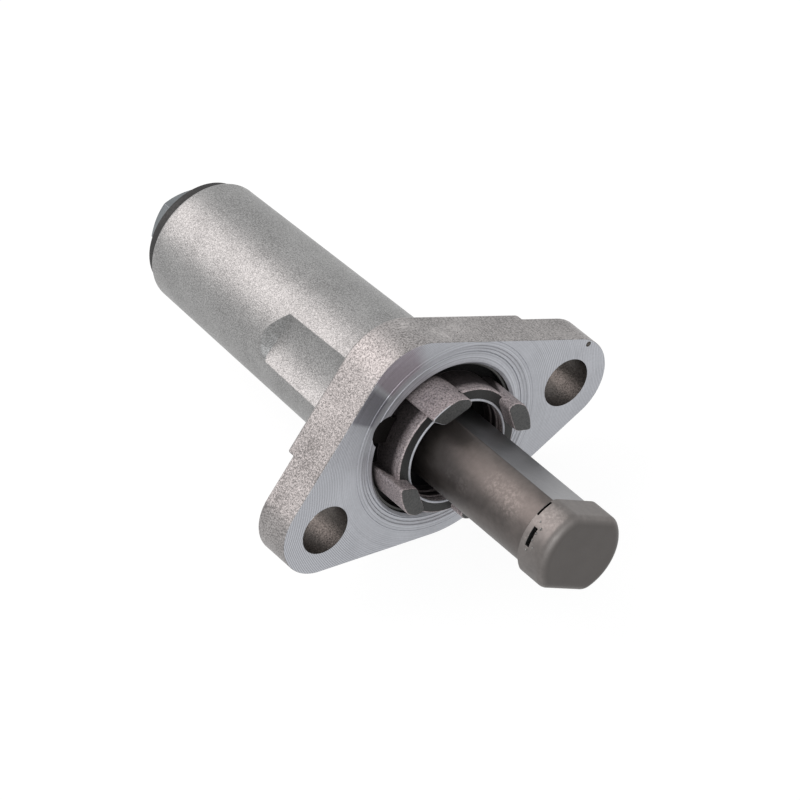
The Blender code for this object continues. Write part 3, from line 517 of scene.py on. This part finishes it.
def plate(name, outline, top, bottom, kind, top_edge=0.0, bottom_edge=0.0, segments=3):
    """A flat outline with a thickness, whose rims may be rounded."""
    mesh = bpy.data.meshes.new(name)
    shape = bmesh.new()
    face = shape.faces.new([shape.verts.new((x, y, bottom)) for x, y in outline])
    lifted = bmesh.ops.extrude_face_region(shape, geom=[face])
    raised = [item for item in lifted["geom"] if isinstance(item, bmesh.types.BMVert)]
    bmesh.ops.translate(shape, verts=raised, vec=(0.0, 0.0, top - bottom))
    bmesh.ops.recalc_face_normals(shape, faces=shape.faces)
    for height, width in ((top, top_edge), (bottom, bottom_edge)):
        rim = [edge for edge in shape.edges
               if all(abs(vert.co.z - height) < 0.001 * MM for vert in edge.verts)]
        if width > 0.0:
            bmesh.ops.bevel(shape, geom=rim, offset=width, segments=segments, affect="EDGES",
                            profile=0.5, clamp_overlap=False)
    shape.to_mesh(mesh)
    shape.free()
    return new_piece(name, mesh, kind)


def sector(name, inner, outer, start, end, top, bottom, kind, edge=0.0):
    """A piece of a ring between two angles in degrees."""
    steps = max(3, round(SMALL_ROUND * (end - start) / 180.0))
    outline = arc((0.0, 0.0), outer, start, end, steps)
    outline += arc((0.0, 0.0), inner, end, start, steps)
    return plate(name, outline, top, bottom, kind, edge, edge)


def flatted_outline(radius, flat, turn, corner=0.0):
    """A circle with two parallel flats, its four corners sharp or rounded."""
    inner = radius - corner
    half = math.degrees(math.acos((flat - corner) / inner))
    outline = []
    for side in (math.degrees(turn), math.degrees(turn) + 180.0):
        if corner > 0.0:
            for first, last in ((side - half, side), (side, side + half)):
                middle = side + half if first == side else side - half
                outline += arc(polar(inner, math.radians(middle)), corner, first, last, 10)
        round_side = arc((0.0, 0.0), radius, side + half, side + 180.0 - half, SMALL_ROUND // 2)
        outline += round_side[1:-1] if corner > 0.0 else round_side
    return outline


def soften(outline, reach):
    """The outline with each sharp corner turned into a short curve."""
    points = []
    for index, point in enumerate(outline):
        here = Vector(point)
        before = Vector(outline[index - 1]) - here
        after = Vector(outline[(index + 1) % len(outline)]) - here
        if before.angle(after) > math.radians(165.0):
            points.append(point)
            continue
        start = here + before.normalized() * min(reach, before.length / 2)
        end = here + after.normalized() * min(reach, after.length / 2)
        for step in range(6):
            share = step / 5
            points.append(tuple(start.lerp(here, share).lerp(here.lerp(end, share), share)))
    return points


def ball(name, radius, at, kind, squash=1.0):
    """A small ball, for pits, nicks and burrs."""
    mesh = bpy.data.meshes.new(name)
    shape = bmesh.new()
    bmesh.ops.create_icosphere(shape, subdivisions=2, radius=radius,
                               matrix=Matrix.Translation(at) @ Matrix.Diagonal((1, 1, squash, 1)))
    shape.to_mesh(mesh)
    shape.free()
    return new_piece(name, mesh, kind)


def cut(piece, tool, operation="DIFFERENCE"):
    """Cuts the tool out of the piece, or joins or intersects it, and keeps the tool's finish."""
    change = piece.modifiers.new(tool.name, "BOOLEAN")
    change.operation = operation
    change.solver = "EXACT"
    change.material_mode = "TRANSFER"
    change.object = tool
    tool.hide_render = True
    return piece


def settle(piece, body, replaced, sharp=35.0):
    """Applies a piece's modifiers, shades it smooth and hands it to its body."""
    tools = [change.object for change in piece.modifiers if change.type == "BOOLEAN"]
    tools += [change.object for tool in tools for change in tool.modifiers
              if change.type == "BOOLEAN"]
    bpy.context.view_layer.update()
    graph = bpy.context.evaluated_depsgraph_get()
    mesh = bpy.data.meshes.new_from_object(piece.evaluated_get(graph),
                                           preserve_all_data_layers=True, depsgraph=graph)
    piece.modifiers.clear()
    piece.data = mesh
    for tool in tools:
        bpy.data.objects.remove(tool)
    mesh.shade_smooth()
    mesh.set_sharp_from_angle(angle=math.radians(sharp))
    flats = piece.modifiers.new("Flat faces", "WEIGHTED_NORMAL")
    flats.keep_sharp = True
    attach(piece, body)
    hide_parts(replaced)
    return piece


def set_finish(piece, kind, test):
    """Gives this finish to the faces that pass a test of their centre and normal."""
    piece.data.materials.append(finish_of(kind))
    index = len(piece.data.materials) - 1
    for face in piece.data.polygons:
        if test(face.center, face.normal):
            face.material_index = index


class TENSIONER_OT_housing(bpy.types.Operator):
    """Models the cast housing with its machined face, bores, holes and scallop."""
    bl_idname = "tensioner.housing"
    bl_label = "Housing"

    def execute(self, context):
        size = context.scene.tensioner_housing
        half = size.bolt_spacing / 2
        bolts = ((-half, -size.bolt_drop), (half, -size.bolt_drop))
        circles = [(place, size.lobe_radius) for place in bolts]
        circles.append(((0.0, 0.0), size.hub_radius))
        circles.append(((size.boss_offset, size.boss_height), size.boss_radius))
        rear = -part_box("housing")[1].y
        thick = size.flange_thickness
        face_edge, rear_edge = 0.1 * MM, 0.6 * MM
        housing = plate("housing_casting", hull_outline(circles, ROUND * 2), 0.0, -thick, "wall",
                        face_edge, rear_edge)
        for index, place in enumerate(bolts):
            cut(housing, plate(f"spot_face_{index}", arc(place, size.spot_face_radius, 0, 357, 120),
                               -size.lobe_thickness, -thick - CUT, "wall"))
        cut(housing, self.barrel(size, thick, rear), "UNION")
        cut(housing, self.scallop(size, thick))
        seat_gap = 0.3 * MM
        seat_floor = -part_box("thrust_seat")[1].y - seat_gap
        hole_end = -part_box("seal_washer")[1].y
        seal_hole = 3.1 * MM
        # The bore takes the darker painted shade finish.
        cut(housing, turned("stepped_bore", [
            (0.0, CUT), (size.counterbore_radius, CUT),
            (size.counterbore_radius, -size.counterbore_depth),
            (size.bore_radius, -size.counterbore_depth), (size.bore_radius, seat_floor),
            (seal_hole, seat_floor), (seal_hole, hole_end), (0.0, hole_end)], "bore", closed=False))
        self.mouth(housing, size)
        inner = size.counterbore_radius - CUT
        groove_radius, groove_front, groove_rear = 11.05 * MM, -0.6 * MM, -2.0 * MM
        cut(housing, turned("ring_groove", [
            (inner, groove_front), (groove_radius, groove_front), (groove_radius, groove_rear),
            (inner, groove_rear)], "machined"))
        notch = polar(size.counterbore_radius - size.notch_inset, size.notch_angle)
        # The pry notch takes the near-black painted shade finish.
        cut(housing, rod("pry_notch", size.notch_radius, CUT, -size.notch_depth, "pit", notch))
        hole_top, draft = 0.2 * MM, 0.3 * MM
        # The bolt holes' walls and the nicks take the darker hole colour, which is painted shade.
        for index, place in enumerate(bolts):
            cut(housing, rod(f"bolt_hole_{index}", size.bolt_hole_radius, hole_top, -thick - CUT,
                             "hole", place, foot=size.bolt_hole_radius - draft))
        for index, (x, y, z, radius) in enumerate(NICKS):
            cut(housing, ball(f"nick_{index}", radius, (x, y, z), "hole"))
        settle(housing, "body", "housing")
        set_finish(housing, "machined",
                   lambda centre, normal: normal.z > 0.95 and centre.z > -0.01 * MM)
        return {"FINISHED"}

    def mouth(self, housing, size):
        """The turned steps round the mouth, a little off the bore's axis, and the bore's chamfer."""
        bore = size.counterbore_radius
        inner = bore - CUT
        step = bore + size.mouth_ring_width + 0.5 * MM
        deep = size.mouth_ring_depth
        profile = [(inner, CUT), (step + CUT, CUT), (step, 0.0), (step - 0.12 * MM, -0.5 * deep),
                   (step - 0.42 * MM, -0.5 * deep), (step - 0.55 * MM, -deep),
                   (step - 0.86 * MM, -deep), (step - 0.93 * MM, -1.5 * deep),
                   (step - 1.0 * MM, -deep), (inner, -deep)]
        groove = step + 0.7 * MM
        half_width, proud = 0.07 * MM, 0.02 * MM
        rings = (("mouth_step", profile),
                 ("face_groove", [(groove - half_width, proud), (groove + half_width, proud),
                                  (groove, -half_width)]))
        for name, section in rings:
            ring = turned(name, section, "machined")
            ring.matrix_world = UPRIGHT @ Matrix.Translation((*FACE_CENTRE, 0.0))
            cut(housing, ring)
        chamfer = 0.35 * MM
        # The chamfer takes the painted highlight finish.
        cut(housing, turned("mouth_chamfer", [
            (inner, CUT), (bore + chamfer + deep + CUT, CUT), (bore, -deep - chamfer),
            (inner, -deep - chamfer)], "edge"))

    def barrel(self, size, thick, rear):
        """The tapered barrel with its fillet and rounded end."""
        end = 0.5 * MM
        fillet = (size.barrel_front_radius + size.barrel_fillet, -thick - size.barrel_fillet)
        profile = [(0.0, -thick / 2), (fillet[0], -thick / 2)]
        profile += arc(fillet, size.barrel_fillet, 90.0, 180.0, 8)
        profile += arc((size.barrel_rear_radius - end, rear + end), end, 0.0, -90.0, 6)
        profile.append((0.0, rear))
        return turned("barrel", profile, "cast", closed=False)

    def scallop(self, size, thick):
        """The hollow along the barrel: round across, with a leaning, skewed end and one soft corner."""
        front = -thick - size.barrel_fillet / 2
        reach = size.scallop_radius
        length = size.scallop_length
        turn = size.scallop_angle
        hollow = rod("scallop", reach, front, front - length - reach, "cast",
                     polar(size.scallop_floor + reach, turn), ROUND)
        half = reach + CUT
        corner = size.scallop_corner
        rise = half * math.tan(size.scallop_skew)
        outline = [(half, half), (half, rise - length), (0.0, -length)]
        outline += arc((corner - size.scallop_side, corner - length), corner, -90.0, -180.0, 12)
        outline += [(-half, corner - length), (-half, half)]
        gauge = plate("scallop_outline", outline, half * 2, -half * 2, "cast")
        gauge.data.transform(Matrix.Rotation(turn - math.pi / 2, 4, "Z")
                             @ Matrix.Translation((0.0, size.scallop_floor, front)) @ UPRIGHT
                             @ Matrix.Shear("XY", 4, (0.0, math.tan(size.scallop_lean))))
        return cut(hollow, gauge, "INTERSECT")


class TENSIONER_OT_guide_ring(bpy.types.Operator):
    """Models the sintered guide ring with its claws, web, recess and flatted hole."""
    bl_idname = "tensioner.guide_ring"
    bl_label = "Guide ring"

    def execute(self, context):
        size = context.scene.tensioner_steel
        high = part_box("guide_ring")[1]
        base_thickness = 2.1 * MM
        base_rear = -high.y
        base_front = base_rear + base_thickness
        wall, front, floor = size.web_inner, size.web_reach, -size.recess_depth
        edge, claw_edge, bead = 0.25 * MM, 0.18 * MM, 0.15 * MM
        profile = [(0.0, floor), (wall, floor), (wall, -0.1 * MM), (wall + 0.2 * MM, 0.0),
                   (wall + 0.2 * MM, 0.5 * MM), (wall, 0.6 * MM), (wall, 1.1 * MM),
                   (wall + 0.15 * MM, 1.2 * MM), (wall + 0.15 * MM, 1.5 * MM), (wall, 1.6 * MM),
                   *arc((wall + bead, front), bead, 180, 0, 8),
                   *arc((size.web_radius - edge, front - edge), edge, 90, 0, 5),
                   (size.web_radius, base_front), (high.x, base_front), (high.x, base_rear),
                   (0.0, base_rear)]
        ring = turned("guide_ring_sintered", profile, "sintered", closed=False)
        for index in range(4):
            centre = math.degrees(size.claw_angle) + 90.0 * index
            claw = plate(f"claw_{index}", self.claw(size, centre, index % 2 == 1), size.claw_reach,
                         (base_front + base_rear) / 2, "sintered", claw_edge)
            cut(ring, claw, "UNION")
        notch_start, notch_end = 129.0, 151.0
        # The rim notch takes the near-black painted shade finish.
        cut(ring, sector("rim_notch", size.web_radius, high.x + CUT, notch_start, notch_end,
                         base_front + CUT, base_rear - CUT, "pit"))
        clearance = 0.27 * MM
        hole = flatted_outline(size.plunger_radius + clearance, size.plunger_flat + clearance,
                               size.flat_angle)
        # The hole's walls take the darker painted shade finish.
        cut(ring, plate("guide_hole", hole, floor + CUT, base_rear - CUT, "painted_shade"))
        pit_radius, pit_height = 0.3 * MM, 2.55 * MM
        pit = polar(size.claw_outer - 2 * pit_radius, math.radians(80.0))
        # The pit takes the near-black painted shade finish.
        cut(ring, ball("pit", pit_radius, (*pit, pit_height), "pit"))
        settle(ring, "body", "guide_ring")
        # Faces that look forward get the darker pressed colour, which is partly painted shade.
        set_finish(ring, "pressed", lambda centre, normal: normal.z > 0.95)
        # Painted shade on the forward faces below the web's front: the web's front, the recess floor and
        # the base.
        set_finish(ring, "painted_shade", lambda centre, normal: normal.z > 0.95 and centre.z < front + edge)
        # Painted highlight along the lip round the hole.
        set_finish(ring, "edge", lambda centre, normal: centre.z > front - 0.01 * MM
                   and math.hypot(centre.x, centre.y) < wall + 2 * bead)
        # Painted highlight on the front edge of one claw only, between these degrees.
        highlight_above, highlight_start, highlight_end = front + 1.2 * MM, 96.0, 114.0
        set_finish(ring, "edge", lambda centre, normal: 0.35 < normal.z < 0.93
                   and centre.z > highlight_above
                   and highlight_start < math.degrees(math.atan2(centre.y, centre.x)) < highlight_end)
        return {"FINISHED"}

    def claw(self, size, centre, mirrored):
        """A claw's section: an arc, a bevelled corner, a straight side, a flat inside, a slanted side."""
        sign = -1.0 if mirrored else 1.0
        side, foot, bevel, corner = 2.9 * MM, -1.25 * MM, 1.2 * MM, 0.65 * MM
        points = [polar(size.claw_outer, math.radians(-16.5))]
        points += arc((0.0, 0.0), size.claw_outer, -9.0, 2.5, 8)
        points += [polar(size.claw_outer, math.radians(9.5)), (size.claw_outer - bevel, side),
                   (size.claw_inner, side), (size.claw_inner, foot)]
        turn = Matrix.Rotation(math.radians(centre), 2)
        outline = [tuple(turn @ Vector((x, sign * y))) for x, y in soften(points, corner)]
        return outline if sign > 0 else outline[::-1]


class TENSIONER_OT_retaining_ring(bpy.types.Operator):
    """Models the snap ring in the bore's groove."""
    bl_idname = "tensioner.retaining_ring"
    bl_label = "Retaining ring"

    def execute(self, context):
        size = context.scene.tensioner_steel
        low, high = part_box("retaining_ring")
        start, end, edge = 155.0, 488.0, 0.08 * MM
        ring = sector("snap_ring", size.snap_inner, size.snap_outer, start, end, -low.y, -high.y,
                      "spring", edge)
        settle(ring, "body", "retaining_ring")
        return {"FINISHED"}


class TENSIONER_OT_plunger(bpy.types.Operator):
    """Models the flatted plunger tube and its spigot."""
    bl_idname = "tensioner.plunger"
    bl_label = "Plunger"

    def execute(self, context):
        size = context.scene.tensioner_steel
        outline = flatted_outline(size.plunger_radius, size.plunger_flat, size.flat_angle)
        front_edge, rear_edge = 0.1 * MM, 0.2 * MM
        tube = plate("plunger_tube", outline, size.plunger_front, -size.plunger_rear, "ground",
                     front_edge, rear_edge)
        cut(tube, rod("spigot", size.spigot_radius, size.spigot_front, size.plunger_front - CUT,
                      "ground"), "UNION")
        cut(tube, rod("tube_bore", size.tube_radius, size.spigot_front + CUT,
                      -size.plunger_rear - CUT, "bright"))
        settle(tube, "plunger_group", "plunger")
        along = Vector((*polar(1.0, size.flat_angle), 0.0))
        set_finish(tube, "flat", lambda centre, normal: abs(normal.dot(along)) > 0.99)
        return {"FINISHED"}


class TENSIONER_OT_cap(bpy.types.Operator):
    """Models the pressed cap with its rounded nose and staking slots."""
    bl_idname = "tensioner.cap"
    bl_label = "Cap"

    def execute(self, context):
        size = context.scene.tensioner_steel
        outline = flatted_outline(size.cap_radius, size.cap_flat, size.flat_angle, size.cap_corner)
        rim_edge, clearance, socket_depth, end_wall = 0.15 * MM, 0.2 * MM, 1.0 * MM, 1.2 * MM
        cap = plate("pressed_cap", outline, size.cap_front, size.cap_rear, "cap", size.cap_round,
                    rim_edge, 8)
        socket = flatted_outline(size.plunger_radius + clearance, size.plunger_flat + clearance,
                                 size.flat_angle)
        cut(cap, plate("cap_socket", socket, size.cap_rear + socket_depth, size.cap_rear - CUT,
                       "cap"))
        cut(cap, rod("cap_bore", size.spigot_radius + 0.3 * MM, size.cap_front - end_wall,
                     size.cap_rear, "cap"))
        reach = size.cap_radius + CUT
        # The rim slot takes the near-black painted shade finish.
        cut(cap, sector("rim_slot", size.plunger_radius, reach, 94.0, 115.0,
                        size.cap_rear + 0.42 * MM, size.cap_rear + 0.14 * MM, "pit"))
        # The stake slot takes the darker painted shade finish.
        cut(cap, sector("stake_slot", size.plunger_radius, reach, 127.0, 151.0,
                        size.cap_rear + 1.6 * MM, size.cap_rear + 0.95 * MM, "painted_shade"))
        for index, (turn, height, radius) in enumerate(BURRS):
            at = polar(size.cap_radius, math.radians(turn))
            cut(cap, ball(f"burr_{index}", radius, (*at, size.cap_rear + height), "bright", 0.45),
                "UNION")
        settle(cap, "plunger_group", "plunger_cap")
        return {"FINISHED"}


class TENSIONER_OT_rear_seal(bpy.types.Operator):
    """Models the seal washer and the hexagon-headed bolt at the rear."""
    bl_idname = "tensioner.rear_seal"
    bl_label = "Rear seal"

    def execute(self, context):
        size = context.scene.tensioner_steel
        low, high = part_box("seal_washer")
        radius = size.washer_radius
        edge, inner, extra_front, extra_rear = 0.2 * MM, 3.1 * MM, 0.25 * MM, 0.3 * MM
        front, rear = extra_front - low.y, -extra_rear - high.y
        profile = arc((radius - edge, front - edge), edge, 90.0, 0.0, 4)
        profile += arc((radius - edge, rear + edge), edge, 0.0, -90.0, 4)
        profile += [(inner, rear), (inner, front)]
        settle(turned("seal_washer_ring", profile, "rubber"), "body", "seal_washer")
        low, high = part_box("seal_bolt")
        corner = size.hex_flats / math.sqrt(3.0)
        head_front = -high.y + size.hex_height
        turn, shank_radius = 55.0, 2.8 * MM
        hexagon = [polar(corner, math.radians(turn + 60.0 * index)) for index in range(6)]
        bolt = plate("seal_bolt_head", hexagon, head_front, -high.y, "plated")
        cut(bolt, turned("hex_chamfer", [
            (0.0, head_front + CUT), (corner + CUT, head_front + CUT),
            (corner + CUT, -high.y + CUT), (corner - 0.1 * MM, -high.y + 0.35 * MM),
            (size.hex_flats / 2 - 0.1 * MM, -high.y), (0.0, -high.y)], "plated", closed=False),
            "INTERSECT")
        cut(bolt, rod("shank", shank_radius, -low.y, -high.y + 2.0 * MM, "plated"), "UNION")
        settle(bolt, "body", "seal_bolt")
        return {"FINISHED"}


class TENSIONER_OT_inner_works(bpy.types.Operator):
    """Finishes the screw, spring, sleeve and thrust seat inside the barrel."""
    bl_idname = "tensioner.inner_works"
    bl_label = "Inner works"

    def execute(self, context):
        kinds = {"screw_shaft": "bright", "torsion_spring": "spring", "spacer_sleeve": "bright",
                 "thrust_seat": "bright"}
        for node, kind in kinds.items():
            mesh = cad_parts[node].data
            mesh.materials.clear()
            mesh.materials.append(finish_of(kind))
        return {"FINISHED"}


class TENSIONER_OT_studio(bpy.types.Operator):
    """Adds the pale floor, the soft lamps and the camera."""
    bl_idname = "tensioner.studio"
    bl_label = "Studio"

    def execute(self, context):
        self.floor(context)
        self.world(context)
        for lamp in LAMPS:
            self.lamp(*lamp)
        self.camera(context)
        context.scene.view_settings.view_transform = "Standard"
        return {"FINISHED"}

    def floor(self, context):
        """A pale floor that reads as white and keeps the object's shadow."""
        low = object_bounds()[0]
        mesh = bpy.data.meshes.new("floor")
        shape = bmesh.new()
        bmesh.ops.create_grid(shape, x_segments=1, y_segments=1, size=FLOOR_SIZE)
        shape.to_mesh(mesh)
        shape.free()
        floor = bpy.data.objects.new("floor", mesh)
        context.scene.collection.objects.link(floor)
        floor.location = (0.0, 0.0, low[2] - FLOOR_GAP)
        tint = context.scene.tensioner_colours.floor
        look = Finish("pale_floor", 0.0)
        look.finish(base_color=tuple(tint), roughness=0.8)
        glow = look.add("ShaderNodeEmission", {"Color": (1.0, 1.0, 1.0, 1.0), "Strength": FLOOR_GLOW})
        rays = look.add("ShaderNodeLightPath").outputs
        mirrored = look.math("MAXIMUM", rays["Is Glossy Ray"], rays["Is Transmission Ray"])
        share = look.math("MULTIPLY", look.math("MAXIMUM", rays["Is Camera Ray"], mirrored),
                          FLOOR_GLOW_SHARE)
        mixed = look.add("ShaderNodeMixShader", {0: share, 1: look.shader.outputs[0],
                                                 2: glow.outputs[0]})
        look.tree.links.new(mixed.outputs[0], look.tree.nodes["Material Output"].inputs["Surface"])
        mesh.materials.append(look.material)
        floor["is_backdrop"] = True

    def world(self, context):
        """White to the camera and to reflections, and a softer fill for the rest."""
        world = bpy.data.worlds.new("studio_world")
        context.scene.world = world
        world.use_nodes = True
        nodes, links = world.node_tree.nodes, world.node_tree.links
        rays = nodes.new("ShaderNodeLightPath").outputs
        seen = rays["Is Camera Ray"]
        for kind in ("Is Glossy Ray", "Is Transmission Ray"):
            either = nodes.new("ShaderNodeMath")
            either.operation = "MAXIMUM"
            links.new(seen, either.inputs[0])
            links.new(rays[kind], either.inputs[1])
            seen = either.outputs[0]
        level = nodes.new("ShaderNodeMapRange")
        level.inputs["To Min"].default_value = FILL_STRENGTH
        level.inputs["To Max"].default_value = 1.0
        links.new(seen, level.inputs["Value"])
        links.new(level.outputs["Result"], nodes["Background"].inputs["Strength"])
        nodes["Background"].inputs["Color"].default_value = (1.0, 1.0, 1.0, 1.0)

    def lamp(self, name, azimuth, elevation, side, power, tint):
        """A square soft lamp that looks at the flange; azimuth 0 is in front of the plunger."""
        data = bpy.data.lights.new(name, "AREA")
        data.color = tint
        data.size = side
        data.energy = power
        lamp = bpy.data.objects.new(name, data)
        bpy.context.scene.collection.objects.link(lamp)
        turn = Matrix.Rotation(math.radians(azimuth), 4, "Z")
        tip = Matrix.Rotation(math.radians(90.0 - elevation), 4, "X")
        lamp.matrix_world = turn @ tip @ Matrix.Translation((0.0, 0.0, LAMP_DISTANCE))

    def camera(self, context):
        """The camera at the photograph's place, height and roll."""
        data = bpy.data.cameras.new("camera")
        data.sensor_width = 36.0
        data.lens = CAMERA_LENS
        data.clip_start = 0.01
        camera = bpy.data.objects.new("camera", data)
        context.scene.collection.objects.link(camera)
        turn = Matrix.Rotation(math.radians(CAMERA_AZIMUTH), 4, "Z")
        tip = Matrix.Rotation(math.radians(90.0 - CAMERA_HEIGHT), 4, "X")
        roll = Matrix.Rotation(math.radians(CAMERA_ROLL), 4, "Z")
        camera.matrix_world = Matrix.Translation(CAMERA_PLACE) @ turn @ tip @ roll
        context.scene.camera = camera


OPERATORS = (TENSIONER_OT_housing, TENSIONER_OT_guide_ring, TENSIONER_OT_retaining_ring,
             TENSIONER_OT_plunger, TENSIONER_OT_cap, TENSIONER_OT_rear_seal,
             TENSIONER_OT_inner_works, TENSIONER_OT_studio)


class TENSIONER_PT_panel(bpy.types.Panel):
    """Lists the tensioner's operators, sizes and colours."""
    bl_idname = "TENSIONER_PT_panel"
    bl_label = "Timing Chain Tensioner"
    bl_space_type = "VIEW_3D"
    bl_region_type = "UI"
    bl_category = "Tensioner"

    def draw(self, context):
        layout = self.layout
        for kind in OPERATORS:
            layout.operator(kind.bl_idname)
        for group in (context.scene.tensioner_housing, context.scene.tensioner_steel,
                      context.scene.tensioner_colours):
            box = layout.box()
            for name in group.bl_rna.properties.keys():
                if name not in {"rna_type", "name"}:
                    box.prop(group, name)


GROUPS = {"tensioner_housing": HousingSizes, "tensioner_steel": SteelSizes,
          "tensioner_colours": FinishColours}


def register():
    for kind in (*GROUPS.values(), *OPERATORS, TENSIONER_PT_panel):
        bpy.utils.register_class(kind)
    for name, kind in GROUPS.items():
        setattr(bpy.types.Scene, name, PointerProperty(type=kind))


def unregister():
    for name in GROUPS:
        delattr(bpy.types.Scene, name)
    for kind in reversed((*GROUPS.values(), *OPERATORS, TENSIONER_PT_panel)):
        bpy.utils.unregister_class(kind)


def main():
    """Dresses the frame, piece by piece."""
    register()
    for kind in OPERATORS:
        group, name = kind.bl_idname.split(".")
        getattr(getattr(bpy.ops, group), name)()


if __name__ == "__main__":
    main()
